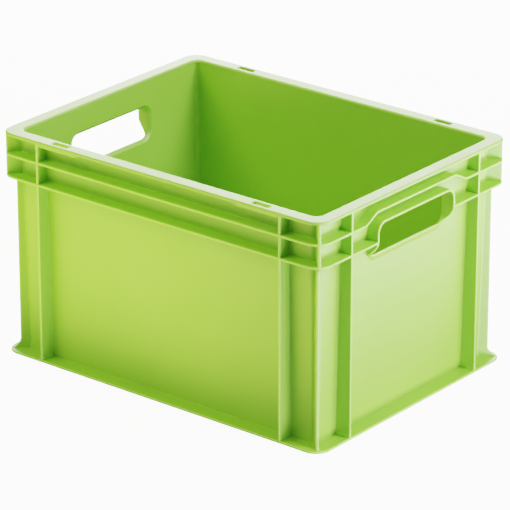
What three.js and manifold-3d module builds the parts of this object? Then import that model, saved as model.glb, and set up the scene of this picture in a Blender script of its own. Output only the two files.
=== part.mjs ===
// Stacking plastic crate for a 400 x 300 footprint, in millimetres.
// X runs along the length, Y along the width and Z up. The origin is the centre of the
// footprint, at the level that the crate stands on. The real crate is one moulding: each
// wall, fin, rib, rim side and flange side of it is a node here, and they meet face to face.
import * as THREE from 'three';
import { mergeVertices } from 'three/addons/utils/BufferGeometryUtils.js';
import Module from 'manifold-3d';

// Overall size and outline.
const length = 400;
const width = 300;
const height = 240;
const outlineRadius = 16;

// Walls lean outwards from foot to rim, and turn through a cone at each corner.
const wallThickness = 3;
const footInset = 17.5;
const rimInset = 12.5;
const cornerCentreInset = 23.5;

// Foot and floor.
const footHeight = 1.5;
const footRailWidth = 12;
const floorThickness = 3;

// Horizontal fins, each given by its middle height.
const finThickness = 2.5;
const flangeBottom = 5;
const lowFinHeight = 194;
const midFinHeight = 217;
const rimThickness = 3;
const rimInnerRadius = 8;

// Vertical ribs and diagonal corner fins.
const ribThickness = 2.75;
const ribFromCorner = 49;
const lapDepth = 6.5;
const cornerFinThickness = 3.2;
const cornerFinSetback = 9.7;
const cornerFinTaper = 4.5;
const cornerGussetHeight = 10.5;
const cornerLapReach = 18;

// Hand hole in each end, its surround and the fin that arches over it.
const holeHalfWidth = 58.5;
const holeBottom = 176;
const holeTop = 210;
const holeRadius = 9.5;
const sillDepth = 2.5;
const sillHeight = 7;
const sillHalfWidth = 50;
const surroundHalfWidth = 61.5;
const surroundTop = 214.75;
const surroundRadius = 12;
const surroundThickness = 2.5;
const surroundFoot = 178;
const archRise = 9;
const archTopHalfWidth = 59;
const archFootHalfWidth = 83;

// Lid slots in the rim's long sides, and the skirt that deepens the rim beside them.
const slotFromMiddle = 124.5;
const slotLength = 20;
const slotWidth = 6;
const slotFromEdge = 7.25;
const skirtDepth = 2.5;
const skirtThickness = 2.5;
const skirtStart = 100;
const skirtSlope = 3;

// Clearance between a leaning or turned face and its neighbour.
const gap = 0.3;
const arcSteps = 8;
const cutOverrun = 2;

// Derived sizes.
const halfLength = length / 2;
const halfWidth = width / 2;
const lean = (footInset - rimInset) / height;
const cornerX = halfLength - cornerCentreInset;
const cornerY = halfWidth - cornerCentreInset;
const footCornerRadius = cornerCentreInset - footInset;
const rimBottom = height - rimThickness;
const floorTop = footHeight + floorThickness;
const flangeTop = flangeBottom + finThickness;
const lowFinBottom = lowFinHeight - finThickness / 2;
const lowFinTop = lowFinHeight + finThickness / 2;
const midFinBottom = midFinHeight - finThickness / 2;
const midFinTop = midFinHeight + finThickness / 2;
const finLevels = [[lowFinBottom, lowFinTop], [midFinBottom, midFinTop]];
const ribX = halfLength - ribFromCorner;
const ribY = halfWidth - ribFromCorner;
const cornerFinReach = (cornerCentreInset - outlineRadius) * Math.SQRT2 + outlineRadius - 0.1;

const wasm = await Module();
wasm.setup();

// The wall's outer radius at a corner, and its distance inside the outline, at a height.
const outerRadiusAt = (z) => footCornerRadius + lean * z;
const insetAt = (z) => footInset - lean * z;

function toSolid(geometry) {
  const bare = geometry.clone();
  bare.deleteAttribute('normal');
  bare.deleteAttribute('uv');
  const merged = mergeVertices(bare, 1e-4);
  return new wasm.Manifold(new wasm.Mesh({
    numProp: 3,
    vertProperties: new Float32Array(merged.attributes.position.array),
    triVerts: new Uint32Array(merged.index.array),
  }));
}

function toGeometry(solid) {
  const mesh = solid.getMesh();
  const geometry = new THREE.BufferGeometry();
  geometry.setAttribute('position', new THREE.BufferAttribute(mesh.vertProperties, 3));
  geometry.setIndex(new THREE.BufferAttribute(mesh.triVerts, 1));
  return geometry;
}

function cut(geometry, ...tools) {
  let solid = toSolid(geometry);
  for (const tool of tools) {
    solid = solid.subtract(toSolid(tool));
  }
  return toGeometry(solid);
}

function join(geometry, ...others) {
  let solid = toSolid(geometry);
  for (const other of others) {
    solid = solid.add(toSolid(other));
  }
  return toGeometry(solid);
}

function common(geometry, other) {
  return toGeometry(toSolid(geometry).intersect(toSolid(other)));
}

function extrude(shape, depth) {
  return new THREE.ExtrudeGeometry(shape, { depth, bevelEnabled: false, curveSegments: arcSteps });
}

// A plan outline raised from one height to another.
function raised(shape, fromZ, toZ) {
  return extrude(shape, toZ - fromZ).translate(0, 0, fromZ);
}

// An outline in Y and Z run along X.
function alongX(shape, fromX, toX) {
  const axes = new THREE.Matrix4().makeBasis(
    new THREE.Vector3(0, 1, 0),
    new THREE.Vector3(0, 0, 1),
    new THREE.Vector3(1, 0, 0),
  );
  return extrude(shape, toX - fromX).applyMatrix4(axes).translate(fromX, 0, 0);
}

// An outline in X and Z run along Y, centred on a middle.
function alongY(shape, thickness, middleY = 0) {
  const axes = new THREE.Matrix4().makeBasis(
    new THREE.Vector3(1, 0, 0),
    new THREE.Vector3(0, 0, 1),
    new THREE.Vector3(0, -1, 0),
  );
  return extrude(shape, thickness).applyMatrix4(axes).translate(0, middleY + thickness / 2, 0);
}

function polygon(points) {
  return new THREE.Shape(points.map(([x, y]) => new THREE.Vector2(x, y)));
}

function rectangle(lowX, lowY, highX, highY) {
  return polygon([[lowX, lowY], [highX, lowY], [highX, highY], [lowX, highY]]);
}

function box(low, high) {
  return raised(rectangle(low[0], low[1], high[0], high[1]), low[2], high[2]);
}

// A rectangle between two corners with all four corners rounded.
function rounded(lowX, lowY, highX, highY, radius) {
  const shape = new THREE.Shape();
  shape.moveTo(lowX + radius, lowY);
  shape.lineTo(highX - radius, lowY);
  shape.absarc(highX - radius, lowY + radius, radius, -Math.PI / 2, 0);
  shape.lineTo(highX, highY - radius);
  shape.absarc(highX - radius, highY - radius, radius, 0, Math.PI / 2);
  shape.lineTo(lowX + radius, highY);
  shape.absarc(lowX + radius, highY - radius, radius, Math.PI / 2, Math.PI);
  shape.lineTo(lowX, lowY + radius);
  shape.absarc(lowX + radius, lowY + radius, radius, Math.PI, 1.5 * Math.PI);
  return shape;
}

// Moves every point outwards with height, along the direction given for its place.
function leanOut(geometry, outwards) {
  const places = geometry.attributes.position;
  for (let i = 0; i < places.count; i += 1) {
    const [dx, dy] = outwards(places.getX(i), places.getY(i));
    const shift = lean * places.getZ(i);
    places.setXY(i, places.getX(i) + dx * shift, places.getY(i) + dy * shift);
  }
  return geometry;
}

// Plan of a rim, fin or flange along the front, with both outer corners. The inner edge
// follows the wall, round an arc about each corner's centre.
function frontStrip(innerRadius) {
  const shape = new THREE.Shape();
  const arcX = halfLength - outlineRadius;
  const arcY = halfWidth - outlineRadius;
  shape.moveTo(-halfLength, -cornerY);
  shape.lineTo(-halfLength, -arcY);
  shape.absarc(-arcX, -arcY, outlineRadius, Math.PI, 1.5 * Math.PI);
  shape.lineTo(arcX, -halfWidth);
  shape.absarc(arcX, -arcY, outlineRadius, 1.5 * Math.PI, 2 * Math.PI);
  shape.lineTo(halfLength, -cornerY);
  shape.lineTo(cornerX + innerRadius, -cornerY);
  shape.absarc(cornerX, -cornerY, innerRadius, 0, -Math.PI / 2, true);
  shape.lineTo(-cornerX, -cornerY - innerRadius);
  shape.absarc(-cornerX, -cornerY, innerRadius, -Math.PI / 2, -Math.PI, true);
  return shape;
}

// Plan of the same strip along the right end, between the corners.
function endStrip(innerRadius, fromY = -cornerY, toY = cornerY) {
  return rectangle(cornerX + innerRadius, fromY, halfLength, toY);
}

const finInnerRadius = (topZ) => outerRadiusAt(topZ) + gap;

function ribNotch(x, y, fromZ, toZ) {
  const half = ribThickness / 2;
  if (Math.abs(x) === halfLength) {
    return box([x - lapDepth, y - half, fromZ], [x + cutOverrun, y + half, toZ]);
  }
  return box([x - half, y - cutOverrun, fromZ], [x + half, y + lapDepth, toZ]);
}

// Slot across a front corner of a fin, for the diagonal corner fin.
function cornerNotch(side, fromZ, toZ) {
  const half = cornerFinThickness / 2 + gap;
  const tool = box([cornerLapReach, -half, fromZ], [cornerFinReach + cutOverrun, half, toZ]);
  const turn = side > 0 ? -Math.PI / 4 : -0.75 * Math.PI;
  return tool.rotateZ(turn).translate(side * cornerX, -cornerY, 0);
}

function floorPanel() {
  const halfX = halfLength - footInset;
  const halfY = halfWidth - footInset;
  return raised(rounded(-halfX, -halfY, halfX, halfY, footCornerRadius), footHeight, floorTop);
}

function frontFootRail() {
  const halfX = halfLength - footInset;
  const outerY = halfWidth - footInset;
  const radius = footCornerRadius;
  const shape = new THREE.Shape();
  shape.moveTo(-halfX, -outerY + footRailWidth);
  shape.lineTo(-halfX, -outerY + radius);
  shape.absarc(-halfX + radius, -outerY + radius, radius, Math.PI, 1.5 * Math.PI);
  shape.lineTo(halfX - radius, -outerY);
  shape.absarc(halfX - radius, -outerY + radius, radius, 1.5 * Math.PI, 2 * Math.PI);
  shape.lineTo(halfX, -outerY + footRailWidth);
  return raised(shape, 0, footHeight);
}

function rightFootRail() {
  const outerX = halfLength - footInset;
  const halfY = halfWidth - footInset - footRailWidth;
  return box([outerX - footRailWidth, -halfY, 0], [outerX, halfY, footHeight]);
}

function frontWall() {
  const outerY = -halfWidth + footInset;
  const slab = rectangle(-cornerX, outerY, cornerX, outerY + wallThickness);
  return leanOut(raised(slab, floorTop, rimBottom), () => [0, -1]);
}

function rightWall() {
  const outerX = halfLength - footInset;
  const slab = rectangle(outerX - wallThickness, -cornerY, outerX, cornerY);
  const wall = leanOut(raised(slab, floorTop, rimBottom), () => [1, 0]);
  const sillPlan = rectangle(outerX - 1, -sillHalfWidth, outerX + sillDepth, sillHalfWidth);
  const sill = leanOut(raised(sillPlan, holeBottom - sillHeight, holeBottom), () => [1, 0]);
  const hole = rounded(-holeHalfWidth, holeBottom, holeHalfWidth, holeTop, holeRadius);
  return cut(join(wall, sill), alongX(hole, outerX - 10, halfLength));
}

// Quarter cone that carries the wall round a corner, about the corner's own centre.
function wallCorner() {
  const shape = new THREE.Shape();
  shape.absarc(0, 0, footCornerRadius, 0, Math.PI / 2);
  shape.absarc(0, 0, footCornerRadius - wallThickness, Math.PI / 2, 0, true);
  return leanOut(raised(shape, floorTop, rimBottom), (x, y) => {
    const away = Math.hypot(x, y);
    return [x / away, y / away];
  });
}

function frontFlange() {
  return raised(frontStrip(finInnerRadius(flangeTop)), flangeBottom, flangeTop);
}

function rightFlange() {
  return raised(endStrip(finInnerRadius(flangeTop)), flangeBottom, flangeTop);
}

function frontFin(fromZ, toZ) {
  return cut(
    raised(frontStrip(finInnerRadius(toZ)), fromZ, toZ),
    ribNotch(-ribX, -halfWidth, fromZ - 1, toZ + 1),
    ribNotch(ribX, -halfWidth, fromZ - 1, toZ + 1),
    cornerNotch(-1, fromZ - 1, toZ + 1),
    cornerNotch(1, fromZ - 1, toZ + 1),
  );
}

// Low fin between a corner and the hand hole's surround, on the right end.
function rightLowFin(side) {
  const near = side > 0 ? surroundHalfWidth : -cornerY;
  const far = side > 0 ? cornerY : -surroundHalfWidth;
  return cut(
    raised(endStrip(finInnerRadius(lowFinTop), near, far), lowFinBottom, lowFinTop),
    ribNotch(halfLength, side * ribY, lowFinBottom - 1, lowFinTop + 1),
  );
}

// Middle fin of the right end, which climbs over the hand hole.
function rightMidFin() {
  const path = [
    [-cornerY, midFinHeight],
    [-archFootHalfWidth, midFinHeight],
    [-archTopHalfWidth, midFinHeight + archRise],
    [archTopHalfWidth, midFinHeight + archRise],
    [archFootHalfWidth, midFinHeight],
    [cornerY, midFinHeight],
  ];
  const half = finThickness / 2;
  const lower = path.map(([y, z]) => [y, z - half]);
  const upper = path.map(([y, z]) => [y, z + half]).reverse();
  const innerX = cornerX + finInnerRadius(midFinTop + archRise);
  return cut(
    alongX(polygon([...lower, ...upper]), innerX, halfLength),
    ribNotch(halfLength, -ribY, midFinBottom - 1, midFinTop + 1),
    ribNotch(halfLength, ribY, midFinBottom - 1, midFinTop + 1),
  );
}

// Long side of the rim, with its lid slots and the deeper skirt outside each slot.
function frontRim() {
  const skirtEnd = ribX - ribThickness / 2;
  const skirtOutline = (side) => polygon([
    [side * (skirtStart - skirtSlope), rimBottom],
    [side * skirtStart, rimBottom - skirtDepth],
    [side * skirtEnd, rimBottom - skirtDepth],
    [side * skirtEnd, rimBottom + 1],
    [side * (skirtStart - skirtSlope), rimBottom + 1],
  ]);
  const skirtMiddle = -halfWidth + skirtThickness / 2;
  const slotY = -halfWidth + slotFromEdge;
  const slot = (side) => box(
    [side * slotFromMiddle - slotLength / 2, slotY - slotWidth / 2, rimBottom - cutOverrun],
    [side * slotFromMiddle + slotLength / 2, slotY + slotWidth / 2, height + cutOverrun],
  );
  const plate = raised(frontStrip(rimInnerRadius), rimBottom, height);
  const skirted = join(
    plate,
    alongY(skirtOutline(-1), skirtThickness, skirtMiddle),
    alongY(skirtOutline(1), skirtThickness, skirtMiddle),
  );
  return cut(skirted, slot(-1), slot(1));
}

function rightRim() {
  return raised(endStrip(rimInnerRadius), rimBottom, height);
}

// Vertical rib from flange to rim. Its outer edge is at zero and it reaches back to the wall.
// Each notch in its back takes the inner half of a fin.
function rib() {
  const back = (z) => -insetAt(z) + gap;
  const outline = [[0, flangeTop], [0, rimBottom], [back(rimBottom), rimBottom]];
  for (const [low, high] of [...finLevels].reverse()) {
    outline.push([back(high), high], [-lapDepth, high], [-lapDepth, low], [back(low), low]);
  }
  outline.push([back(flangeTop), flangeTop]);
  return alongY(polygon(outline), ribThickness);
}

// Diagonal fin on a corner, seen along its own length from the corner's centre: full reach
// above the low fin, set back below it, and out again to the flange in a gusset.
function cornerFin() {
  const back = (z) => outerRadiusAt(z) + gap;
  const shortReach = cornerFinReach - cornerFinSetback;
  const outline = [
    [cornerFinReach - 1, flangeTop],
    [shortReach, flangeTop + cornerGussetHeight],
    [shortReach, lowFinBottom - cornerFinTaper],
    [cornerFinReach, lowFinBottom],
    [cornerFinReach, rimBottom],
    [back(rimBottom), rimBottom],
  ];
  for (const [low, high] of [...finLevels].reverse()) {
    const lap = cornerLapReach + gap;
    outline.push([back(high), high + gap], [lap, high + gap], [lap, low - gap], [back(low), low - gap]);
  }
  outline.push([back(flangeTop), flangeTop]);
  return alongY(polygon(outline), cornerFinThickness);
}

// Hood round the top and sides of the right hand hole, running out to the outline. Below the
// low fin it tapers back to the wall.
function rightSurround() {
  const inner = surroundHalfWidth - surroundThickness;
  const innerTop = surroundTop - surroundThickness;
  const innerRadius = surroundRadius - surroundThickness;
  const below = surroundFoot - cutOverrun;
  const deep = below - 2 * surroundRadius;
  const solid = rounded(-surroundHalfWidth, deep, surroundHalfWidth, surroundTop, surroundRadius);
  const hollow = rounded(-inner, deep - 10, inner, innerTop, innerRadius);
  const wallFace = (z) => halfLength - insetAt(z) + gap;
  const sideView = polygon([
    [wallFace(surroundFoot), surroundFoot],
    [wallFace(surroundFoot) + 1, surroundFoot],
    [halfLength, lowFinBottom],
    [halfLength, surroundTop + 1],
    [wallFace(surroundTop + 1), surroundTop + 1],
  ]);
  const hood = cut(
    alongX(solid, halfLength - footInset, halfLength),
    alongX(hollow, halfLength - footInset - cutOverrun, halfLength + cutOverrun),
  );
  return common(hood, alongY(sideView, 3 * surroundHalfWidth));
}

const crate = new THREE.Group();

function add(name, geometry, { turn = 0, x = 0, y = 0, color = 0x8cc43f } = {}) {
  const material = new THREE.MeshStandardMaterial({ color, roughness: 0.42, metalness: 0 });
  const mesh = new THREE.Mesh(geometry, material);
  mesh.name = name;
  mesh.rotation.z = turn;
  mesh.position.set(x, y, 0);
  crate.add(mesh);
}

// The rear is the front turned half round, and the left end is the right end turned half round.
const halfTurn = Math.PI;
const rimColor = 0xa8d868;

function addLongSides(name, make, options = {}) {
  add(`front_${name}`, make(), options);
  add(`rear_${name}`, make(), { ...options, turn: halfTurn });
}

function addEnds(name, make, options = {}) {
  add(`right_${name}`, make(), options);
  add(`left_${name}`, make(), { ...options, turn: halfTurn });
}

add('floor_panel', floorPanel());
addLongSides('foot_rail', frontFootRail);
addEnds('foot_rail', rightFootRail);
addLongSides('wall', frontWall);
addEnds('wall', rightWall);
addLongSides('flange', frontFlange);
addEnds('flange', rightFlange);
addLongSides('low_fin', () => frontFin(lowFinBottom, lowFinTop));
addLongSides('mid_fin', () => frontFin(midFinBottom, midFinTop));
addEnds('mid_fin', rightMidFin);
addLongSides('rim', frontRim, { color: rimColor });
addEnds('rim', rightRim, { color: rimColor });
addEnds('handle_surround', rightSurround);

add('right_low_fin_front', rightLowFin(-1));
add('right_low_fin_rear', rightLowFin(1));
add('left_low_fin_front', rightLowFin(1), { turn: halfTurn });
add('left_low_fin_rear', rightLowFin(-1), { turn: halfTurn });

// Corners, named by the side and end that they join, with the turn of each from the rear right.
const corners = [
  { name: 'rear_right', turn: 0, x: cornerX, y: cornerY },
  { name: 'rear_left', turn: Math.PI / 2, x: -cornerX, y: cornerY },
  { name: 'front_left', turn: Math.PI, x: -cornerX, y: -cornerY },
  { name: 'front_right', turn: 1.5 * Math.PI, x: cornerX, y: -cornerY },
];
for (const { name, turn, x, y } of corners) {
  add(`${name}_wall_corner`, wallCorner(), { turn, x, y });
  add(`${name}_corner_fin`, cornerFin(), { turn: turn + Math.PI / 4, x, y });
}

for (const [sideName, side] of [['front', -1], ['rear', 1]]) {
  for (const [endName, end] of [['left', -1], ['right', 1]]) {
    add(`${sideName}_rib_${endName}`, rib(), { turn: side * Math.PI / 2, x: end * ribX, y: side * halfWidth });
    const turn = end > 0 ? 0 : Math.PI;
    add(`${endName}_rib_${sideName}`, rib(), { turn, x: end * halfLength, y: side * ribY });
  }
}

export default crate;
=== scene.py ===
import math

import bmesh
import bpy
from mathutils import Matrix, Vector
from mathutils.geometry import tessellate_polygon


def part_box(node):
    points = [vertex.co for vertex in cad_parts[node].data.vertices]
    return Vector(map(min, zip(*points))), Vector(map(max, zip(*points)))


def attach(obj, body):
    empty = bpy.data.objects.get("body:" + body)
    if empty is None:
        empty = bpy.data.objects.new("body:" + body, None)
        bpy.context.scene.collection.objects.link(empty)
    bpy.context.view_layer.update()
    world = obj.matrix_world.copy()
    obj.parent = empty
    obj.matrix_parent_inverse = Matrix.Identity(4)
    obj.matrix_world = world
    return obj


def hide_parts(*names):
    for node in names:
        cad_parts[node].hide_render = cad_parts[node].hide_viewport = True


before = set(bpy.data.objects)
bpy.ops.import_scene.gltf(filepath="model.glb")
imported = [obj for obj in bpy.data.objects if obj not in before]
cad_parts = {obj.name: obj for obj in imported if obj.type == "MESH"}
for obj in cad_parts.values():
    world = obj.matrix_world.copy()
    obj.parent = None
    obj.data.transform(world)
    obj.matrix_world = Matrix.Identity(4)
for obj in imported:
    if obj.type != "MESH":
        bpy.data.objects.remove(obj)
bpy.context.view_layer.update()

mm = 0.001
scene = bpy.context.scene

# The outline, the walls and the floor.
crate = {
    "outlineRadius": 16 * mm,
    "wallThickness": 3 * mm,
    "leanOut": 5 * mm,  # how far the walls lean out over the whole height
    "plainWallStart": 1 * mm,  # above the flange
    "intoRim": 0.5 * mm,  # the wall's top, up inside the rim
    "cornerSteps": 12,
    "insideTurn": 4 * mm,  # the upright corners inside
    "floorFillet": 2.4 * mm,
    "filletSteps": 6,
    "footRounding": 1.2 * mm,
    "footSteps": 4,
}

# How finely every surface is made and shaded.
surface = {
    "edgeSteps": 6,
    "leastFillet": 0.001 * mm,
    "mergeWithin": 0.002 * mm,  # places this close are one vertex
    "cleanWithin": 0.001 * mm,
    "smoothBelow": 38,  # degrees
    "normalWeight": 100,
}


def boxOf(node):
    low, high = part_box(node)
    return Vector(low), Vector(high)


# Heights and reaches that every piece shares, taken from the loaded parts.
rimLow, rimHigh = boxOf("front_rim")
rimEndLow, rimEndHigh = boxOf("right_rim")
midFinLow, midFinHigh = boxOf("front_mid_fin")
archHigh = boxOf("right_mid_fin")[1]
lowFinLow, lowFinHigh = boxOf("front_low_fin")
flangeLow, flangeHigh = boxOf("front_flange")
floorLow, floorHigh = boxOf("floor_panel")
wallHigh = boxOf("right_wall")[1]
longWallHigh = boxOf("front_wall")[1]
railHigh = boxOf("right_foot_rail")[1]
surroundLow, surroundHigh = boxOf("right_handle_surround")
longRibLow, longRibHigh = boxOf("front_rib_right")
endRibLow, endRibHigh = boxOf("right_rib_rear")

halfLength = rimEndHigh.x
halfWidth = -rimLow.y
height = rimHigh.z
cornerX = longWallHigh.x
cornerY = wallHigh.y
turnRadius = halfLength - cornerX  # from a corner's turning centre out to the outline
footRadius = floorHigh.x - cornerX
rimBottom = rimEndLow.z
rimInset = halfLength - rimEndLow.x
lean = crate["leanOut"] / height


# How far the wall's outside face is from a corner's turning centre, at a height.
def wallRadius(z):
    return footRadius + lean * z


def insetAt(z):
    return turnRadius - wallRadius(z)


# Adds one node, with its inputs linked or filled in.
def addNode(tree, kind, inputs=None, **settings):
    made = tree.nodes.new(kind)
    for name, value in settings.items():
        setattr(made, name, value)
    for key, value in (inputs or {}).items():
        socket = made.inputs[key]
        if isinstance(value, bpy.types.NodeSocket):
            tree.links.new(value, socket)
        else:
            socket.default_value = value
    return made


def calc(tree, operation, *values):
    node = addNode(tree, "ShaderNodeMath", dict(enumerate(values)), operation=operation)
    return node.outputs[0]


def splitVector(tree, vector):
    return addNode(tree, "ShaderNodeSeparateXYZ", {0: vector}).outputs


def joinVector(tree, x, y, z):
    return addNode(tree, "ShaderNodeCombineXYZ", {0: x, 1: y, 2: z}).outputs[0]


# A place part of the way from the first place to the second.
def between(tree, share, first, second):
    node = addNode(tree, "ShaderNodeMix", {0: share}, data_type="VECTOR")
    tree.links.new(first, node.inputs[4])
    tree.links.new(second, node.inputs[5])
    return node.outputs[1]


# A geometry tree with one named input for each size; whole numbers make counts.
def newTree(name, sizes):
    tree = bpy.data.node_groups.new(name, "GeometryNodeTree")
    tree.interface.new_socket("Geometry", in_out="OUTPUT", socket_type="NodeSocketGeometry")
    tree.interface.new_socket("Geometry", in_out="INPUT", socket_type="NodeSocketGeometry")
    for label, start in sizes.items():
        kind = "NodeSocketInt" if isinstance(start, int) else "NodeSocketFloat"
        socket = tree.interface.new_socket(label, in_out="INPUT", socket_type=kind)
        socket.default_value = start
    tree.interface.new_socket("Material", in_out="INPUT", socket_type="NodeSocketMaterial")
    return tree, addNode(tree, "NodeGroupInput").outputs


def finishTree(tree, geometry, given):
    real = addNode(tree, "GeometryNodeRealizeInstances", {0: geometry})
    painted = addNode(
        tree, "GeometryNodeSetMaterial", {"Geometry": real.outputs[0], "Material": given["Material"]},
    )
    addNode(tree, "NodeGroupOutput", {0: painted.outputs[0]})


def roundedLoop(tree, width, depth, radius, steps):
    corners = addNode(
        tree, "GeometryNodeCurvePrimitiveQuadrilateral", {"Width": width, "Height": depth},
    ).outputs[0]
    return addNode(
        tree, "GeometryNodeFilletCurve",
        {"Curve": corners, "Radius": radius, "Count": steps}, mode="POLY",
    ).outputs[0]


def pointCount(tree, curve):
    size = addNode(tree, "GeometryNodeAttributeDomainSize", {0: curve}, component="CURVE")
    return size.outputs["Point Count"]


# Where the curve's point with this number is.
def placeAt(tree, curve, index):
    here = addNode(tree, "GeometryNodeInputPosition").outputs[0]
    node = addNode(
        tree, "GeometryNodeSampleIndex", {"Geometry": curve}, data_type="FLOAT_VECTOR", domain="POINT",
    )
    tree.links.new(here, node.inputs["Value"])
    tree.links.new(index, node.inputs["Index"])
    return node.outputs[0]


# A grid whose rows run round a loop and whose columns run round a section.
def gridOver(tree, rows, columns, closedRows=True):
    rowTotal = calc(tree, "ADD", rows, 1) if closedRows else rows
    columnTotal = calc(tree, "ADD", columns, 1)
    grid = addNode(
        tree, "GeometryNodeMeshGrid", {"Vertices X": rowTotal, "Vertices Y": columnTotal},
    ).outputs[0]
    index = addNode(tree, "GeometryNodeInputIndex").outputs[0]
    row = calc(tree, "FLOOR", calc(tree, "DIVIDE", calc(tree, "ADD", index, 0.5), columnTotal))
    column = calc(tree, "SUBTRACT", index, calc(tree, "MULTIPLY", row, columnTotal))
    if closedRows:
        row = calc(tree, "MODULO", row, rows)
    return grid, row, calc(tree, "MODULO", column, columns)


# The closed outline of a cut through a strip or plate, with its edges rounded.
def sectionCurve(tree, depth, thickness, upperRounding, lowerRounding, points, innerRounding=None):
    corners = addNode(
        tree, "GeometryNodeCurvePrimitiveQuadrilateral", {"Width": depth, "Height": thickness},
    ).outputs[0]
    out, side, _ = splitVector(tree, addNode(tree, "GeometryNodeInputPosition").outputs[0])
    isUpper = calc(tree, "GREATER_THAN", side, 0.0)
    if innerRounding is not None:
        isInner = calc(tree, "LESS_THAN", out, 0.0)
        more = calc(tree, "SUBTRACT", innerRounding, upperRounding)
        upperRounding = calc(tree, "MULTIPLY_ADD", isInner, more, upperRounding)
    extra = calc(tree, "SUBTRACT", upperRounding, lowerRounding)
    radius = calc(tree, "MULTIPLY_ADD", isUpper, extra, lowerRounding)
    rounded = addNode(
        tree, "GeometryNodeFilletCurve",
        {"Curve": corners, "Radius": radius, "Count": surface["edgeSteps"]}, mode="POLY",
    ).outputs[0]
    return addNode(tree, "GeometryNodeResampleCurve", {"Curve": rounded, "Count": points}).outputs[0]


# Bends a surface up into a fillet: given how far along it has come, how far in and how far up it is.
def filletBend(tree, along, fillet):
    safe = calc(tree, "MAXIMUM", fillet, surface["leastFillet"])
    started = calc(tree, "MAXIMUM", calc(tree, "DIVIDE", along, safe), 0.0)
    angle = calc(tree, "MINIMUM", started, math.pi / 2)
    bent = calc(tree, "SUBTRACT", calc(tree, "SINE", angle), angle)
    inwards = calc(tree, "MULTIPLY_ADD", bent, safe, along)
    lift = calc(tree, "MULTIPLY", calc(tree, "SUBTRACT", 1.0, calc(tree, "COSINE", angle)), safe)
    return inwards, lift


# Moves the grid's points to their places and closes its seams.
def setPlaces(tree, grid, position):
    moved = addNode(tree, "GeometryNodeSetPosition", {"Geometry": grid, "Position": position}).outputs[0]
    return addNode(
        tree, "GeometryNodeMergeByDistance", {"Geometry": moved, "Distance": surface["mergeWithin"]},
    ).outputs[0]


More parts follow.
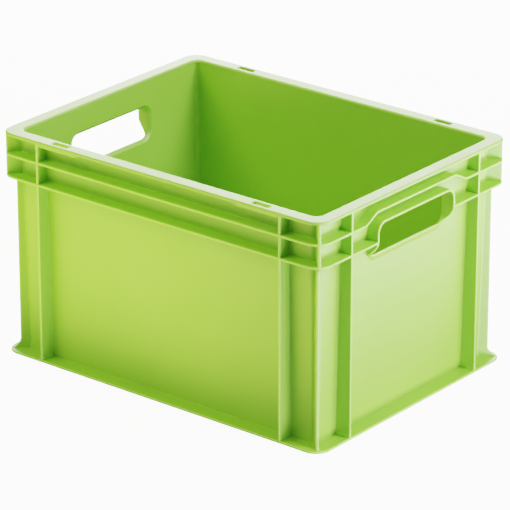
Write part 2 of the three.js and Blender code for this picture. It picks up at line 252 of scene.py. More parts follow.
# A strip round the whole crate, from the outline back to the wall: rim, fins, flange and foot rail.
def makeStripTree():
    tree, given = newTree("strip round the crate", {
        "Length": 400 * mm, "Width": 300 * mm, "Corner Radius": 16 * mm, "Depth": 15 * mm,
        "Inner Radius": 9 * mm, "Height": 100 * mm, "Thickness": 2.5 * mm, "Edge Rounding": 0.6 * mm,
        "Lower Rounding": 0.6 * mm, "Inner Rounding": 0.6 * mm, "Wall Depth": 13.5 * mm,
        "Wall Fillet": 1 * mm, "Arch Rise": 0.0, "Arch Top": 59 * mm, "Arch Foot": 83 * mm,
        "Gap": 0.0, "Gap Snap": 0.0, "Corner Steps": 12, "End Cuts": 0, "Section Points": 80,
    })
    straightFrom = 50 * mm  # a longer step in y, from point to point, is an end's straight part
    gapPinch = 5 * mm  # how far behind the outline the section closes in a gap
    depth = given["Depth"]
    twice = calc(tree, "MULTIPLY", depth, 2.0)
    outer = roundedLoop(
        tree, given["Length"], given["Width"], given["Corner Radius"], given["Corner Steps"],
    )
    inner = roundedLoop(
        tree, calc(tree, "SUBTRACT", given["Length"], twice), calc(tree, "SUBTRACT", given["Width"], twice),
        given["Inner Radius"], given["Corner Steps"],
    )

    # Only the straight part of each end is divided, so that it can arch or stop.
    def divided(curve):
        index = addNode(tree, "GeometryNodeInputIndex").outputs[0]
        following = calc(tree, "MODULO", calc(tree, "ADD", index, 1.0), pointCount(tree, curve))
        hereY = splitVector(tree, addNode(tree, "GeometryNodeInputPosition").outputs[0])[1]
        followingY = splitVector(tree, placeAt(tree, curve, following))[1]
        step = calc(tree, "ABSOLUTE", calc(tree, "SUBTRACT", followingY, hereY))
        isEnd = calc(tree, "GREATER_THAN", step, straightFrom)
        cuts = calc(tree, "MULTIPLY", isEnd, given["End Cuts"])
        return addNode(tree, "GeometryNodeSubdivideCurve", {"Curve": curve, "Cuts": cuts}).outputs[0]

    outer = divided(outer)
    inner = divided(inner)
    section = sectionCurve(
        tree, depth, given["Thickness"], given["Edge Rounding"], given["Lower Rounding"],
        given["Section Points"], given["Inner Rounding"],
    )
    grid, row, column = gridOver(tree, pointCount(tree, outer), given["Section Points"])
    outerPlace = placeAt(tree, outer, row)
    innerPlace = placeAt(tree, inner, row)
    across, up, _ = splitVector(tree, placeAt(tree, section, column))
    inwards = calc(tree, "SUBTRACT", calc(tree, "MULTIPLY", depth, 0.5), across)
    fillet = given["Wall Fillet"]
    filletStart = calc(tree, "SUBTRACT", given["Wall Depth"], fillet)
    bent, lift = filletBend(tree, calc(tree, "SUBTRACT", inwards, filletStart), fillet)
    inwards = calc(tree, "ADD", filletStart, bent)
    up = calc(tree, "ADD", up, calc(tree, "MULTIPLY", calc(tree, "SIGN", up), lift))
    x, y, _ = splitVector(tree, between(tree, calc(tree, "DIVIDE", inwards, depth), outerPlace, innerPlace))
    fromMiddle = calc(tree, "ABSOLUTE", y)
    arch = addNode(
        tree, "ShaderNodeMapRange",
        {0: fromMiddle, 1: given["Arch Foot"], 2: given["Arch Top"], 3: 0.0, 4: given["Arch Rise"]},
        interpolation_type="SMOOTHSTEP",
    ).outputs[0]

    # Inside the gap the section closes to a point on the strip's flat end.
    outerX, outerY, _ = splitVector(tree, outerPlace)
    away = calc(tree, "ABSOLUTE", outerY)
    isInGap = calc(tree, "LESS_THAN", away, given["Gap"])
    isNearGap = calc(tree, "LESS_THAN", away, calc(tree, "ADD", given["Gap"], given["Gap Snap"]))
    gapEdge = calc(tree, "MULTIPLY", calc(tree, "SIGN", outerY), given["Gap"])
    y = calc(tree, "MULTIPLY_ADD", isNearGap, calc(tree, "SUBTRACT", gapEdge, y), y)
    pinch = calc(tree, "MULTIPLY", calc(tree, "SIGN", outerX), gapPinch)
    pinchX = calc(tree, "SUBTRACT", outerX, pinch)
    x = calc(tree, "MULTIPLY_ADD", isInGap, calc(tree, "SUBTRACT", pinchX, x), x)
    up = calc(tree, "MULTIPLY", up, calc(tree, "SUBTRACT", 1.0, isInGap))
    z = calc(tree, "ADD", calc(tree, "ADD", up, arch), given["Height"])
    finishTree(tree, setPlaces(tree, grid, joinVector(tree, x, y, z)), given)
    return tree


# Upright plates from the wall out to the outline, copied to four places facing outwards.
def makeUprightTree():
    tree, given = newTree("uprights round the crate", {
        "From Height": 7.5 * mm, "To Height": 237 * mm, "Reach": 23.5 * mm, "Setback": 0.0,
        "Gusset": 10.5 * mm, "Gusset Set In": 1 * mm, "Setback Top": 192.75 * mm, "Taper": 4.5 * mm,
        "Curl": 1.7, "Thickness": 2.75 * mm, "Edge Rounding": 0.6 * mm, "Foot Radius": 6 * mm,
        "Lean": 0.02, "Wall Fillet": 1 * mm, "Span X": 300 * mm, "Span Y": 250 * mm,
        "Outward X": 0.0, "Outward Y": 1.0, "Levels": 2, "Section Points": 80,
    })
    sunk = 1 * mm  # how far a plate's back lies inside the wall
    longest = calc(tree, "SUBTRACT", given["Reach"], calc(tree, "SUBTRACT", given["Foot Radius"], sunk))
    section = sectionCurve(
        tree, longest, given["Thickness"], given["Edge Rounding"], given["Edge Rounding"],
        given["Section Points"],
    )
    # The first and last rows close to a point, which caps the foot and the top.
    levels = given["Levels"]
    rows = calc(tree, "ADD", levels, 2)
    grid, row, column = gridOver(tree, rows, given["Section Points"], closedRows=False)
    last = calc(tree, "SUBTRACT", levels, 1)
    level = calc(tree, "MINIMUM", calc(tree, "MAXIMUM", calc(tree, "SUBTRACT", row, 1.0), 0.0), last)
    isOpen = calc(
        tree, "MULTIPLY", calc(tree, "GREATER_THAN", row, 0.5),
        calc(tree, "LESS_THAN", row, calc(tree, "ADD", levels, 0.5)),
    )
    tall = calc(tree, "SUBTRACT", given["To Height"], given["From Height"])
    z = calc(tree, "MULTIPLY_ADD", calc(tree, "DIVIDE", level, last), tall, given["From Height"])

    # The reach is full at the top, set back lower down, and out again in a gusset at the foot.
    def curl(share):
        clamped = calc(tree, "MINIMUM", calc(tree, "MAXIMUM", share, 0.0), 1.0)
        return calc(tree, "POWER", clamped, given["Curl"])

    aboveFoot = calc(tree, "DIVIDE", calc(tree, "SUBTRACT", z, given["From Height"]), given["Gusset"])
    footShare = curl(calc(tree, "SUBTRACT", 1.0, aboveFoot))
    aboveTaper = calc(tree, "SUBTRACT", z, calc(tree, "SUBTRACT", given["Setback Top"], given["Taper"]))
    topShare = curl(calc(tree, "DIVIDE", aboveTaper, given["Taper"]))
    short = calc(tree, "SUBTRACT", given["Reach"], given["Setback"])
    footOut = calc(tree, "SUBTRACT", given["Setback"], given["Gusset Set In"])
    reach = calc(
        tree, "MAXIMUM", calc(tree, "MULTIPLY_ADD", footShare, footOut, short),
        calc(tree, "MULTIPLY_ADD", topShare, given["Setback"], short),
    )

    along, side, _ = splitVector(tree, placeAt(tree, section, column))
    inwards = calc(tree, "SUBTRACT", calc(tree, "MULTIPLY", longest, 0.5), along)
    wallFace = calc(tree, "MULTIPLY_ADD", given["Lean"], z, given["Foot Radius"])
    back = calc(tree, "SUBTRACT", wallFace, sunk)
    filletStart = calc(tree, "ADD", wallFace, given["Wall Fillet"])
    past = calc(tree, "SUBTRACT", filletStart, calc(tree, "SUBTRACT", reach, inwards))
    bent, lift = filletBend(tree, past, given["Wall Fillet"])
    x = calc(tree, "MAXIMUM", calc(tree, "SUBTRACT", filletStart, bent), back)
    side = calc(tree, "ADD", side, calc(tree, "MULTIPLY", calc(tree, "SIGN", side), lift))
    middle = calc(tree, "MULTIPLY", calc(tree, "ADD", reach, back), 0.5)
    x = calc(tree, "MULTIPLY_ADD", isOpen, calc(tree, "SUBTRACT", x, middle), middle)
    side = calc(tree, "MULTIPLY", side, isOpen)
    plate = setPlaces(tree, grid, joinVector(tree, x, side, z))

    spots = addNode(tree, "GeometryNodeMeshGrid", {
        "Size X": given["Span X"], "Size Y": given["Span Y"], "Vertices X": 2, "Vertices Y": 2,
    }).outputs[0]
    spotX, spotY, _ = splitVector(tree, addNode(tree, "GeometryNodeInputPosition").outputs[0])
    outX = calc(tree, "MULTIPLY", calc(tree, "SIGN", spotX), given["Outward X"])
    outY = calc(tree, "MULTIPLY", calc(tree, "SIGN", spotY), given["Outward Y"])
    turn = joinVector(tree, 0.0, 0.0, calc(tree, "ARCTAN2", outY, outX))
    copies = addNode(
        tree, "GeometryNodeInstanceOnPoints", {"Points": spots, "Instance": plate, "Rotation": turn},
    )
    finishTree(tree, copies.outputs[0], given)
    return tree


# The band round a hand hole: a deep hood over the top and sides, drawn in to a bead along the sill.
def makeSurroundTree():
    tree, given = newTree("hand hole surround", {
        "Hole Width": 117 * mm, "Hole Height": 34 * mm, "Hole Radius": 9.5 * mm, "Hole Middle": 193 * mm,
        "Lip Width": 118 * mm, "Lip Height": 36 * mm, "Lip Radius": 9.5 * mm, "Lip Middle": 194 * mm,
        "Outer Width": 123 * mm, "Outer Height": 46 * mm, "Outer Radius": 12 * mm,
        "Outer Middle": 192 * mm, "Reach": 200 * mm, "Wall At Foot": 182 * mm, "Lean": 0.02,
        "Embed": 0.2 * mm, "Sill Depth": 2.5 * mm, "Sill Curl": 1.6, "Leg Top": 192.75 * mm,
        "Leg Foot": 178 * mm, "Leg Curl": 1.5, "Thickness": 2.5 * mm, "Depth": 14.5 * mm,
        "Edge Rounding": 0.9 * mm, "Corner Steps": 12, "Cuts": 2, "Section Points": 70,
    })

    def loop(label):
        curve = roundedLoop(
            tree, given[label + " Width"], given[label + " Height"], given[label + " Radius"],
            given["Corner Steps"],
        )
        return addNode(
            tree, "GeometryNodeSubdivideCurve", {"Curve": curve, "Cuts": given["Cuts"]},
        ).outputs[0]

    hole = loop("Hole")
    lip = loop("Lip")
    outer = loop("Outer")
    section = sectionCurve(
        tree, given["Depth"], given["Thickness"], given["Edge Rounding"], given["Edge Rounding"],
        given["Section Points"],
    )
    grid, row, column = gridOver(tree, pointCount(tree, hole), given["Section Points"])

    def lifted(curve, label):
        lift = joinVector(tree, 0.0, given[label + " Middle"], 0.0)
        return addNode(
            tree, "ShaderNodeVectorMath", {0: placeAt(tree, curve, row), 1: lift}, operation="ADD",
        ).outputs[0]

    along, across, _ = splitVector(tree, placeAt(tree, section, column))
    fromLip = calc(tree, "SUBTRACT", calc(tree, "MULTIPLY", given["Depth"], 0.5), along)
    outwards = calc(tree, "DIVIDE", fromLip, given["Depth"])
    innerPlace = between(tree, outwards, lifted(lip, "Lip"), lifted(hole, "Hole"))
    share = calc(tree, "ADD", calc(tree, "DIVIDE", across, given["Thickness"]), 0.5)
    place = between(tree, share, innerPlace, lifted(outer, "Outer"))
    y, z, _ = splitVector(tree, place)
    wall = calc(tree, "MULTIPLY_ADD", given["Lean"], z, given["Wall At Foot"])
    legSpan = calc(tree, "SUBTRACT", given["Leg Top"], given["Leg Foot"])
    legShare = calc(tree, "DIVIDE", calc(tree, "SUBTRACT", given["Leg Top"], z), legSpan)
    clamped = calc(tree, "MINIMUM", calc(tree, "MAXIMUM", legShare, 0.0), 1.0)
    full = calc(tree, "SUBTRACT", 1.0, calc(tree, "POWER", clamped, given["Leg Curl"]))
    # The sill's bead rounds away to nothing at its lower edge.
    upper = calc(tree, "MAXIMUM", calc(tree, "SUBTRACT", 1.0, share), 0.0)
    crown = calc(tree, "POWER", upper, given["Sill Curl"])
    sill = calc(tree, "MULTIPLY_ADD", crown, given["Sill Depth"], wall)
    edge = calc(tree, "MULTIPLY_ADD", full, calc(tree, "SUBTRACT", given["Reach"], sill), sill)
    back = calc(tree, "SUBTRACT", wall, given["Embed"])
    x = calc(tree, "MAXIMUM", calc(tree, "SUBTRACT", edge, fromLip), back)
    right = setPlaces(tree, grid, joinVector(tree, x, y, z))
    left = addNode(
        tree, "GeometryNodeTransform", {"Geometry": right, "Rotation": (0.0, 0.0, math.pi)},
    ).outputs[0]
    both = addNode(tree, "GeometryNodeJoinGeometry", {0: left})
    tree.links.new(right, both.inputs[0])
    finishTree(tree, both.outputs[0], given)
    return tree


def socketId(tree, label):
    for item in tree.interface.items_tree:
        if item.item_type == "SOCKET" and item.in_out == "INPUT" and item.name == label:
            return item.identifier
    raise KeyError(label)


def cleanMesh(mesh):
    work = bmesh.new()
    work.from_mesh(mesh)
    bmesh.ops.remove_doubles(work, verts=work.verts, dist=surface["cleanWithin"])
    bmesh.ops.dissolve_degenerate(work, edges=work.edges, dist=surface["cleanWithin"])
    bmesh.ops.delete(work, geom=[edge for edge in work.edges if not edge.link_faces], context="EDGES")
    bmesh.ops.delete(work, geom=[vert for vert in work.verts if not vert.link_faces], context="VERTS")
    bmesh.ops.recalc_face_normals(work, faces=work.faces)
    work.to_mesh(mesh)
    work.free()


def smoothMesh(mesh):
    mesh.shade_smooth()
    mesh.set_sharp_from_angle(angle=math.radians(surface["smoothBelow"]))


def takeMesh(piece):
    graph = bpy.context.evaluated_depsgraph_get()
    mesh = bpy.data.meshes.new_from_object(piece.evaluated_get(graph))
    piece.modifiers.clear()
    piece.data = mesh
    return mesh


def newPiece(name, mesh, material):
    piece = bpy.data.objects.new(name, mesh)
    scene.collection.objects.link(piece)
    if material.name not in mesh.materials:
        mesh.materials.append(material)
    return piece


def growPiece(name, tree, sizes, material):
    piece = newPiece(name, bpy.data.meshes.new(name), material)
    grower = piece.modifiers.new("grow", "NODES")
    grower.node_group = tree
    for label, value in sizes.items():
        grower[socketId(tree, label)] = value
    grower[socketId(tree, "Material")] = material
    mesh = takeMesh(piece)
    mesh.name = name
    cleanMesh(mesh)
    smoothMesh(mesh)
    return piece


def evenNormals(piece):
    even = piece.modifiers.new("even normals", "WEIGHTED_NORMAL")
    even.keep_sharp = True
    even.weight = surface["normalWeight"]


def finishPiece(piece, *nodes):
    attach(piece, "root")
    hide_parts(*nodes)
    print("piece", piece.name, len(piece.data.polygons), "faces")


# Satin polypropylene, coloured right through.
plastic = {
    "deep": (0.24, 0.5, 0.05, 1.0),
    "bright": (0.27, 0.54, 0.056, 1.0),
    "paintedEdgeHighlight": (0.44, 0.82, 0.13, 1.0),  # painted highlight: a lighter green on convex edges, standing in for light coming through the thin plastic
    "highlightBulge": (0.51, 0.535),  # the pointiness from where an edge starts to get the painted highlight, to where it gets it fully
    "highlightShare": 0.7,  # how much of the painted highlight's colour shows there
    "cloudScale": 9.0,
    "cloudDetail": 3.0,
    "cloudRange": (0.3, 0.7),
    "roughness": (0.48, 0.56),
    "grainScale": 1400.0,
    "grainDetail": 2.0,
    "grainStrength": 0.25,
    "grainHeight": 0.05 * mm,
    "subsurface": 0.12,
    "subsurfaceScale": 2.5 * mm,
    "subsurfaceRadius": (0.6, 1.0, 0.25),
    "ior": 1.55,
    "specular": 1.0,
}


def makePlastic(name, hasPaintedHighlight):
    material = bpy.data.materials.new(name)
    material.use_nodes = True
    tree = material.node_tree
    shader = tree.nodes["Principled BSDF"]
    where = addNode(tree, "ShaderNodeTexCoord").outputs["Object"]
    clouds = addNode(
        tree, "ShaderNodeTexNoise",
        {"Vector": where, "Scale": plastic["cloudScale"], "Detail": plastic["cloudDetail"]},
    ).outputs["Fac"]
    tint = addNode(tree, "ShaderNodeMix", {0: clouds}, data_type="RGBA")
    tint.inputs[6].default_value = plastic["deep"]
    tint.inputs[7].default_value = plastic["bright"]
    colour = tint.outputs[2]
    # Painted highlight: convex edges, found by pointiness, are mixed towards a lighter green.
    if hasPaintedHighlight:
        bulge = addNode(tree, "ShaderNodeNewGeometry").outputs["Pointiness"]
        start, full = plastic["highlightBulge"]
        share = addNode(
            tree, "ShaderNodeMapRange", {0: bulge, 1: start, 2: full, 3: 0.0, 4: plastic["highlightShare"]},
        ).outputs[0]
        withHighlight = addNode(tree, "ShaderNodeMix", {0: share}, data_type="RGBA")
        tree.links.new(colour, withHighlight.inputs[6])
        withHighlight.inputs[7].default_value = plastic["paintedEdgeHighlight"]
        colour = withHighlight.outputs[2]
    tree.links.new(colour, shader.inputs["Base Color"])
    thin, thick = plastic["cloudRange"]
    glossiest, dullest = plastic["roughness"]
    satin = addNode(
        tree, "ShaderNodeMapRange", {0: clouds, 1: thin, 2: thick, 3: glossiest, 4: dullest},
    )
    tree.links.new(satin.outputs[0], shader.inputs["Roughness"])
    grain = addNode(
        tree, "ShaderNodeTexNoise",
        {"Vector": where, "Scale": plastic["grainScale"], "Detail": plastic["grainDetail"]},
    ).outputs["Fac"]
    grained = addNode(
        tree, "ShaderNodeBump",
        {"Strength": plastic["grainStrength"], "Distance": plastic["grainHeight"], "Height": grain},
    )
    tree.links.new(grained.outputs[0], shader.inputs["Normal"])
    shader.inputs["Subsurface Weight"].default_value = plastic["subsurface"]
    shader.inputs["Subsurface Radius"].default_value = plastic["subsurfaceRadius"]
    shader.inputs["Subsurface Scale"].default_value = plastic["subsurfaceScale"]
    shader.inputs["IOR"].default_value = plastic["ior"]
    shader.inputs["Specular IOR Level"].default_value = plastic["specular"]
    return material


plasticMaterial = makePlastic("satin_polypropylene", False)
# This copy carries the painted edge highlight; the one above does not.
paintedHighlightMaterial = makePlastic("satin_polypropylene_painted_highlight", True)
print("material made")

stripTree = makeStripTree()
uprightTree = makeUprightTree()
surroundTree = makeSurroundTree()
print("node trees built")


# Walls and floor in one skin, with the hand holes through both ends.
holes = {
    "halfWidth": 58.5 * mm,
    "bottom": 176 * mm,
    "top": 210 * mm,
    "radius": 9.5 * mm,
    "cornerSteps": 10,
    # the inside edge: how much wider than the hole it is, and how far out through the wall
    "edge": [
        (3.3 * mm, 0.0), (2.95 * mm, 0.08 * mm), (2.65 * mm, 0.3 * mm), (0.75 * mm, 1.95 * mm),
        (0.4 * mm, 2.2 * mm), (0.1 * mm, 2.5 * mm), (0.0, 3.0 * mm),
    ],
}


# One level of the shell: its four corners turned by arcs, with straight sides between them.
def ringPlaces(radius, z, turn):
    places = []
    shift = radius - turn
    steps = crate["cornerSteps"]
    for quarter, (endX, endY) in enumerate([(1, 1), (-1, 1), (-1, -1), (1, -1)]):
        for step in range(steps + 1):
            angle = math.radians(90 * (quarter + step / steps))
            places.append((
                endX * (cornerX + shift) + turn * math.cos(angle),
                endY * (cornerY + shift) + turn * math.sin(angle),
                z,
            ))
    return places


def holeLoop(offset):
    halfAcross = holes["halfWidth"] + offset
    low = holes["bottom"] - offset
    high = holes["top"] + offset
    radius = holes["radius"] + offset
    steps = holes["cornerSteps"]
    loop = []
    middles = [
        (halfAcross - radius, high - radius), (-halfAcross + radius, high - radius),
        (-halfAcross + radius, low + radius), (halfAcross - radius, low + radius),
    ]
    for quarter, (middleY, middleZ) in enumerate(middles):
        for step in range(steps + 1):
            angle = math.radians(90 * (quarter + step / steps))
            loop.append((middleY + radius * math.cos(angle), middleZ + radius * math.sin(angle)))
    return loop


def makeShell():
    work = bmesh.new()
    steps = crate["cornerSteps"]
    thickness = crate["wallThickness"]
    topZ = rimBottom + crate["intoRim"]
    wallStart = flangeHigh.z + crate["plainWallStart"]

    # Rings up the outside, then down the inside to the floor.
    rings = []
    rounding = crate["footRounding"]
    for step in range(crate["footSteps"] + 1):
        angle = math.radians(90 * step / crate["footSteps"])
        z = floorLow.z + rounding * (1 - math.cos(angle))
        rings.append((wallRadius(z) - rounding * (1 - math.sin(angle)), z))
    rings.append((wallRadius(wallStart), wallStart))
    outerWall = len(rings) - 1
    rings.append((wallRadius(topZ), topZ))
    rings.append((wallRadius(topZ) - thickness, topZ))
    innerWall = len(rings) - 1
    fillet = crate["floorFillet"]
    filletTop = floorHigh.z + fillet
    for step in range(crate["filletSteps"] + 1):
        angle = math.radians(90 * step / crate["filletSteps"])
        z = filletTop - fillet * math.sin(angle)
        rings.append((wallRadius(filletTop) - thickness - fillet * (1 - math.cos(angle)), z))

    made = []
    for radius, z in rings:
        turn = radius if len(made) < innerWall else min(radius, crate["insideTurn"])
        made.append([work.verts.new(place) for place in ringPlaces(radius, z, turn)])
    count = len(made[0])
    rightSide = count - 1
    leftSide = 2 * (steps + 1) - 1
    for level in range(len(made) - 1):
        lower, upper = made[level], made[level + 1]
        for i in range(count):
            j = (i + 1) % count
            if level in (outerWall, innerWall) and i in (rightSide, leftSide):
                continue
            work.faces.new((lower[i], lower[j], upper[j], upper[i]))
    work.faces.new(list(reversed(made[0])))
    work.faces.new(made[-1])

    # Each end: a holed face outside and inside, joined by a sloping edge through the wall.
    for end, i in ((1, rightSide), (-1, leftSide)):
        loops = []
        for offset, outwards in holes["edge"]:
            loops.append([
                work.verts.new((end * (cornerX + wallRadius(z) - thickness + outwards), y, z))
                for y, z in holeLoop(offset)
            ])
        for first, second in zip(loops, loops[1:]):
            for a in range(len(first)):
                b = (a + 1) % len(first)
                work.faces.new((first[a], first[b], second[b], second[a]))
        j = (i + 1) % count
        for level, loop in ((outerWall, loops[-1]), (innerWall, loops[0])):
            corners = [made[level][i], made[level][j], made[level + 1][j], made[level + 1][i]]
            flat = [[Vector((v.co.y, v.co.z, 0)) for v in part] for part in (corners, loop)]
            verts = corners + loop
            for triple in tessellate_polygon(flat):
                work.faces.new([verts[k] for k in triple])
    bmesh.ops.recalc_face_normals(work, faces=work.faces)
    mesh = bpy.data.meshes.new("walls_and_floor")
    work.to_mesh(mesh)
    work.free()
    smoothMesh(mesh)
    shell = newPiece("walls_and_floor", mesh, plasticMaterial)
    evenNormals(shell)
    return shell


shell = makeShell()
finishPiece(
    shell, "floor_panel", "front_wall", "rear_wall", "right_wall", "left_wall",
    "front_left_wall_corner", "front_right_wall_corner", "rear_left_wall_corner", "rear_right_wall_corner",
)
print("walls and floor done")


# The outline that every strip follows, except the standing rail.
outlineSizes = {
    "Length": 2 * halfLength,
    "Width": 2 * halfWidth,
    "Corner Radius": crate["outlineRadius"],
    "Corner Steps": crate["cornerSteps"],
}


def growStrip(name, nodes, sizes):
    strip = growPiece(name, stripTree, {**outlineSizes, **sizes}, paintedHighlightMaterial)
    finishPiece(strip, *nodes)


finSettings = {
    "rounding": 0.9 * mm,
    "fillet": 0.35 * mm,
    "flangeFillet": 0.5 * mm,
    "intoWall": 1.8 * mm,  # how far a fin's back lies inside the wall
    "endCuts": 90,
    "gapInset": 1.2 * mm,  # the low fins' ends, inside the hand hole's surround
    "gapSnap": 3 * mm,
    "archFoot": 83 * mm,  # the arch starts to rise this far from the end's middle
    "archTop": 59 * mm,  # and is at its full height this far from it
}


def finSizes(low, high):
    middle = (low + high) / 2
    wallDepth = insetAt(middle)
    depth = wallDepth + finSettings["intoWall"]
    return {
        "Depth": depth,
        "Inner Radius": turnRadius - depth,
        "Height": middle,
        "Thickness": high - low,
        "Edge Rounding": finSettings["rounding"],
        "Lower Rounding": finSettings["rounding"],
        "Wall Depth": wallDepth,
        "Wall Fillet": finSettings["fillet"],
    }


growStrip(
    "mid_fins", ("front_mid_fin", "rear_mid_fin", "right_mid_fin", "left_mid_fin"),
    {
        **finSizes(midFinLow.z, midFinHigh.z),
        "Arch Rise": archHigh.z - midFinHigh.z,
        "Arch Top": finSettings["archTop"],
        "Arch Foot": finSettings["archFoot"],
        "End Cuts": finSettings["endCuts"],
    },
)
growStrip(
    "low_fins",
    ("front_low_fin", "rear_low_fin", "right_low_fin_front", "right_low_fin_rear",
     "left_low_fin_front", "left_low_fin_rear"),
    {
        **finSizes(lowFinLow.z, lowFinHigh.z),
        "Gap": surroundHigh.y - finSettings["gapInset"],
        "Gap Snap": finSettings["gapSnap"],
        "End Cuts": finSettings["endCuts"],
    },
)
growStrip(
    "base_flange", ("front_flange", "rear_flange", "right_flange", "left_flange"),
    {**finSizes(flangeLow.z, flangeHigh.z), "Wall Fillet": finSettings["flangeFillet"]},
)
print("fins and flange done")

railSettings = {
    "width": 12 * mm,
    "innerRadius": 1.5 * mm,
    "upperRounding": 0.2 * mm,
    "lowerRounding": 0.5 * mm,
    "intoFloor": 0.3 * mm,
}
railTop = railHigh.z + railSettings["intoFloor"]
growStrip(
    "standing_rail", ("front_foot_rail", "rear_foot_rail", "right_foot_rail", "left_foot_rail"),
    {
        "Length": 2 * floorHigh.x,
        "Width": 2 * floorHigh.y,
        "Corner Radius": footRadius,
        "Depth": railSettings["width"],
        "Inner Radius": railSettings["innerRadius"],
        "Height": railTop / 2,
        "Thickness": railTop,
        "Edge Rounding": railSettings["upperRounding"],
        "Lower Rounding": railSettings["lowerRounding"],
        "Wall Fillet": 0.0,
    },
)
print("standing rail done")

rimSettings = {
    "edgeRounding": 1.2 * mm,
    "lowerRounding": 0.4 * mm,
    "innerRounding": 2.3 * mm,
    "slotFromMiddle": 124.5 * mm,
    "slotLength": 20 * mm,
    "slotWidth": 6 * mm,
    "slotFromEdge": 7.25 * mm,
    "slotRounding": 1.2 * mm,
    "slotSteps": 4,
    "slotFlare": 0.5 * mm,
    "cutterSpare": 1 * mm,  # the cutter goes this far past the rim's top, and twice this below it
}


# Four plugs with flared tops, which cut the lid slots.
def slotCutter():
    work = bmesh.new()
    steps = rimSettings["slotSteps"]
    radius = rimSettings["slotRounding"]
    flare = rimSettings["slotFlare"]
    spare = rimSettings["cutterSpare"]
    layers = [
        (rimBottom - 2 * spare, 0.0), (height - flare, 0.0),
        (height, flare), (height + spare, flare + spare),
    ]
    for end in (-1, 1):
        for side in (-1, 1):
            middleX = end * rimSettings["slotFromMiddle"]
            middleY = side * (halfWidth - rimSettings["slotFromEdge"])
            loops = []
            for z, grow in layers:
                halfX = rimSettings["slotLength"] / 2 + grow - radius
                halfY = rimSettings["slotWidth"] / 2 + grow - radius
                loop = []
                for quarter, (goX, goY) in enumerate([(1, 1), (-1, 1), (-1, -1), (1, -1)]):
                    for step in range(steps + 1):
                        angle = math.radians(90 * (quarter + step / steps))
                        loop.append(work.verts.new((
                            middleX + goX * halfX + radius * math.cos(angle),
                            middleY + goY * halfY + radius * math.sin(angle), z,
                        )))
                loops.append(loop)
            for lower, upper in zip(loops, loops[1:]):
                for i in range(len(lower)):
                    j = (i + 1) % len(lower)
                    work.faces.new((lower[i], lower[j], upper[j], upper[i]))
            work.faces.new(list(reversed(loops[0])))
            work.faces.new(loops[-1])
    mesh = bpy.data.meshes.new("slot_cutter")
    work.to_mesh(mesh)
    work.free()
    return newPiece("slot_cutter", mesh, plasticMaterial)


def makeRim():
    rim = growPiece("stacking_rim", stripTree, {
        **outlineSizes,
        "Depth": rimInset,
        "Inner Radius": turnRadius - rimInset,
        "Height": (rimBottom + height) / 2,
        "Thickness": height - rimBottom,
        "Edge Rounding": rimSettings["edgeRounding"],
        "Lower Rounding": rimSettings["lowerRounding"],
        "Inner Rounding": rimSettings["innerRounding"],
        "Wall Fillet": 0.0,
    }, plasticMaterial)
    cutter = slotCutter()
    cut = rim.modifiers.new("slots", "BOOLEAN")
    cut.operation = "DIFFERENCE"
    cut.solver = "EXACT"
    cut.object = cutter
    mesh = takeMesh(rim)
    bpy.data.objects.remove(cutter)
    cleanMesh(mesh)
    smoothMesh(mesh)
    evenNormals(rim)
    return rim


stackingRim = makeRim()
finishPiece(stackingRim, "front_rim", "rear_rim", "right_rim", "left_rim")
print("rim done")

skirtSettings = {
    "start": 100 * mm,
    "slope": 3 * mm,
    "thickness": 2.5 * mm,
    "setBack": 0.05 * mm,  # behind the rim's face
    "intoRim": 1 * mm,
    "edgeWidth": 0.5 * mm,
    "edgeSteps": 3,
}


# Deeper lip under the rim's outer edge, outside each lid slot.
def makeSkirts():
    work = bmesh.new()
    low = rimLow.z
    high = rimBottom + skirtSettings["intoRim"]
    start = skirtSettings["start"]
    slopeStart = start - skirtSettings["slope"]
    far = longRibLow.x
    outline = [(slopeStart, rimBottom), (start, low), (far, low), (far, high), (slopeStart, high)]
    for end in (-1, 1):
        for side in (-1, 1):
            outerY = side * (halfWidth - skirtSettings["setBack"])
            innerY = side * (halfWidth - skirtSettings["thickness"])
            near = [work.verts.new((end * x, outerY, z)) for x, z in outline]
            back = [work.verts.new((end * x, innerY, z)) for x, z in outline]
            work.faces.new(near)
            work.faces.new(back)
            for i in range(len(outline)):
                j = (i + 1) % len(outline)
                work.faces.new((near[i], near[j], back[j], back[i]))
    bmesh.ops.recalc_face_normals(work, faces=work.faces)
    mesh = bpy.data.meshes.new("rim_skirts")
    work.to_mesh(mesh)
    work.free()
    skirts = newPiece("rim_skirts", mesh, plasticMaterial)
    bevel = skirts.modifiers.new("edges", "BEVEL")
    bevel.width = skirtSettings["edgeWidth"]
    bevel.segments = skirtSettings["edgeSteps"]
    bevel.limit_method = "ANGLE"
    smoothMesh(mesh)
    evenNormals(skirts)
    return skirts


rimSkirts = makeSkirts()
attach(rimSkirts, "root")
print("rim skirts done")

uprightSettings = {
    "setBack": 0.1 * mm,  # behind the outline
    "rounding": 1.0 * mm,
    "fillet": 0.4 * mm,
    "overlap": 0.6 * mm,
    "levels": 70,
}


def growUprights(name, nodes, sizes):
    shared = {
        "From Height": flangeHigh.z - uprightSettings["overlap"],
        "To Height": rimBottom + uprightSettings["overlap"],
        "Reach": turnRadius - uprightSettings["setBack"],
        "Edge Rounding": uprightSettings["rounding"],
        "Foot Radius": footRadius,
        "Lean": lean,
        "Wall Fillet": uprightSettings["fillet"],
        "Levels": uprightSettings["levels"],
    }
    uprights = growPiece(name, uprightTree, {**shared, **sizes}, paintedHighlightMaterial)
    finishPiece(uprights, *nodes)


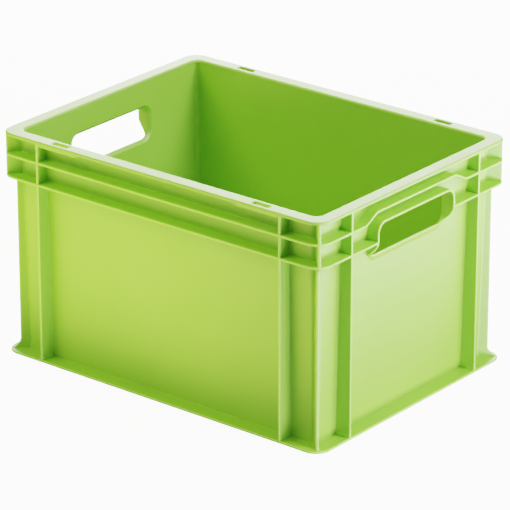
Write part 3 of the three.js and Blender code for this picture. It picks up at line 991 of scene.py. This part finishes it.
growUprights(
    "long_side_ribs", ("front_rib_left", "front_rib_right", "rear_rib_left", "rear_rib_right"),
    {
        "Thickness": longRibHigh.x - longRibLow.x,
        "Span X": longRibHigh.x + longRibLow.x,
        "Span Y": 2 * cornerY,
        "Outward X": 0.0,
        "Outward Y": 1.0,
    },
)
growUprights(
    "end_ribs", ("right_rib_front", "right_rib_rear", "left_rib_front", "left_rib_rear"),
    {
        "Thickness": endRibHigh.y - endRibLow.y,
        "Span X": 2 * cornerX,
        "Span Y": endRibHigh.y + endRibLow.y,
        "Outward X": 1.0,
        "Outward Y": 0.0,
    },
)
print("ribs done")

cornerFinSettings = {
    "thickness": 3.2 * mm,
    "reach": 26.5 * mm,
    "setback": 9.7 * mm,  # below the low fin, down to the gusset
    "gusset": 10.5 * mm,
    "taper": 4.5 * mm,
    "levels": 150,
    "sectionPoints": 60,
}
growUprights(
    "corner_fins",
    ("front_left_corner_fin", "front_right_corner_fin", "rear_left_corner_fin", "rear_right_corner_fin"),
    {
        "Thickness": cornerFinSettings["thickness"],
        "Reach": cornerFinSettings["reach"],
        "Setback": cornerFinSettings["setback"],
        "Gusset": cornerFinSettings["gusset"],
        "Setback Top": lowFinLow.z,
        "Taper": cornerFinSettings["taper"],
        "Span X": 2 * cornerX,
        "Span Y": 2 * cornerY,
        "Outward X": 1.0,
        "Outward Y": 1.0,
        "Levels": cornerFinSettings["levels"],
        "Section Points": cornerFinSettings["sectionPoints"],
    },
)
print("corner fins done")

surroundSettings = {
    "lipTop": 212.25 * mm,
    "lipHalfWidth": 59 * mm,
    "outerBottom": 169 * mm,
    "outerRadius": 12 * mm,
    "edgeRounding": 0.9 * mm,
}


def loopSizes(label, halfAcross, low, high, radius):
    return {
        label + " Width": 2 * halfAcross,
        label + " Height": high - low,
        label + " Radius": radius,
        label + " Middle": (high + low) / 2,
    }


lipHalfWidth = surroundSettings["lipHalfWidth"]
lipTop = surroundSettings["lipTop"]
outerBottom = surroundSettings["outerBottom"]
outerRadius = surroundSettings["outerRadius"]
surrounds = growPiece("hand_hole_surrounds", surroundTree, {
    **loopSizes("Hole", holes["halfWidth"], holes["bottom"], holes["top"], holes["radius"]),
    **loopSizes("Lip", lipHalfWidth, holes["bottom"], lipTop, holes["radius"]),
    **loopSizes("Outer", surroundHigh.y, outerBottom, surroundHigh.z, outerRadius),
    "Reach": halfLength,
    "Wall At Foot": cornerX + footRadius,
    "Lean": lean,
    "Leg Top": lowFinLow.z,
    "Leg Foot": surroundLow.z,
    "Edge Rounding": surroundSettings["edgeRounding"],
}, paintedHighlightMaterial)
finishPiece(surrounds, "right_handle_surround", "left_handle_surround")
print("hand hole surrounds done")


# Pale floor, soft lights and the camera.
studio = {
    "floorSize": 12.0,
    "floorColour": (0.92, 0.92, 0.92, 1.0),
    "floorRoughness": 0.9,
    "floorGlow": 6.0,
    "sky": [(0.3, 0.15), (0.55, 0.29), (0.9, 0.48)],  # how far up, 0 to 1, and how bright there
    "skyBlue": 0.85,  # blue, compared with red and green
    "target": (0.00109, 0.00088, 0.125),
    "direction": (0.5809, -0.7205, 0.3788),  # from the target to the camera
    "distance": 3.627,
    "drop": -0.0123,  # moves the target down the view
    "lens": 258.8,
    "sensor": 36.0,
    "farthest": 100.0,
}

# Each soft light: its place, what it faces, its width and height, its power in watts and its colour.
white = (1.0, 1.0, 1.0)
cream = (1.0, 0.98, 0.9)
green = (0.87, 1.0, 0.27)
softLights = {
    "top_light": ((0.1, 0.1, 2.4), (0, 0, 0.1), (1.6, 1.6), 9, white),
    "front_light": ((-1.1, -1.45, 1.8), (0, 0, 0.1), (1.3, 0.6), 28, green),
    "right_light": ((1.2, -0.22, -0.22), (0.1, 0, 0.12), (0.4, 0.5), 13, white),
    "high_right_light": ((1.6, 0.4, 1.25), (0, 0, 0.14), (0.6, 0.8), 38, white),
    "back_light": ((-1.25, 1.56, 1.0), (0, 0, 0.24), (1.1, 1.3), 58, cream),
    "right_card": ((1.02, 0.62, 0.004), (1.02, 0.62, 1.0), (1.0, 1.1), 45, white),
    "front_card": ((-0.32, -0.62, 0.004), (-0.32, -0.62, 1.0), (0.9, 0.8), 9, green),
}


def makeFloor():
    material = bpy.data.materials.new("pale_floor")
    material.use_nodes = True
    shader = material.node_tree.nodes["Principled BSDF"]
    shader.inputs["Base Color"].default_value = studio["floorColour"]
    shader.inputs["Roughness"].default_value = studio["floorRoughness"]
    shader.inputs["Emission Color"].default_value = (*white, 1.0)
    shader.inputs["Emission Strength"].default_value = studio["floorGlow"]
    half = studio["floorSize"] / 2
    mesh = bpy.data.meshes.new("floor")
    corners = [(-half, -half, 0), (half, -half, 0), (half, half, 0), (-half, half, 0)]
    mesh.from_pydata(corners, [], [(0, 1, 2, 3)])
    floor = newPiece("floor", mesh, material)
    floor.visible_diffuse = False  # the world's lower half stands in for the floor's bounce
    floor.visible_glossy = False
    floor.visible_shadow = False


def makeWorld():
    world = bpy.data.worlds.new("studio_white")
    world.use_nodes = True
    scene.world = world
    tree = world.node_tree
    background = tree.nodes["Background"]
    way = addNode(tree, "ShaderNodeTexCoord").outputs["Generated"]
    howFarUp = calc(tree, "MULTIPLY_ADD", splitVector(tree, way)[2], 0.5, 0.5)
    ramp = addNode(tree, "ShaderNodeValToRGB", {0: howFarUp})
    ramp.color_ramp.interpolation = "EASE"
    ramp.color_ramp.elements.new(0.5)
    for element, (place, level) in zip(ramp.color_ramp.elements, studio["sky"]):
        element.position = place
        element.color = (level, level, level * studio["skyBlue"], 1.0)
    tree.links.new(ramp.outputs[0], background.inputs["Color"])


def addSoftLight(name, place, aim, size, power, colour):
    data = bpy.data.lights.new(name, "AREA")
    data.shape = "RECTANGLE"
    data.size, data.size_y = size
    data.energy = power
    data.color = colour
    lamp = bpy.data.objects.new(name, data)
    lamp.location = place
    lamp.rotation_euler = (Vector(aim) - Vector(place)).to_track_quat("-Z", "Y").to_euler()
    lamp.visible_camera = False
    scene.collection.objects.link(lamp)


def makeCamera():
    data = bpy.data.cameras.new("camera")
    data.lens = studio["lens"]
    data.sensor_width = studio["sensor"]
    data.clip_end = studio["farthest"]
    camera = bpy.data.objects.new("camera", data)
    direction = Vector(studio["direction"]).normalized()
    upwards = (Vector((0, 0, 1)) - direction * direction.z).normalized()
    target = Vector(studio["target"]) + upwards * studio["drop"]
    camera.location = target + direction * studio["distance"]
    camera.rotation_euler = (-direction).to_track_quat("-Z", "Y").to_euler()
    scene.collection.objects.link(camera)
    scene.camera = camera


makeFloor()
makeWorld()
for lightName, settings in softLights.items():
    addSoftLight(lightName, *settings)
makeCamera()
scene.view_settings.view_transform = "Filmic"
scene.view_settings.look = "Medium High Contrast"
print("studio done")
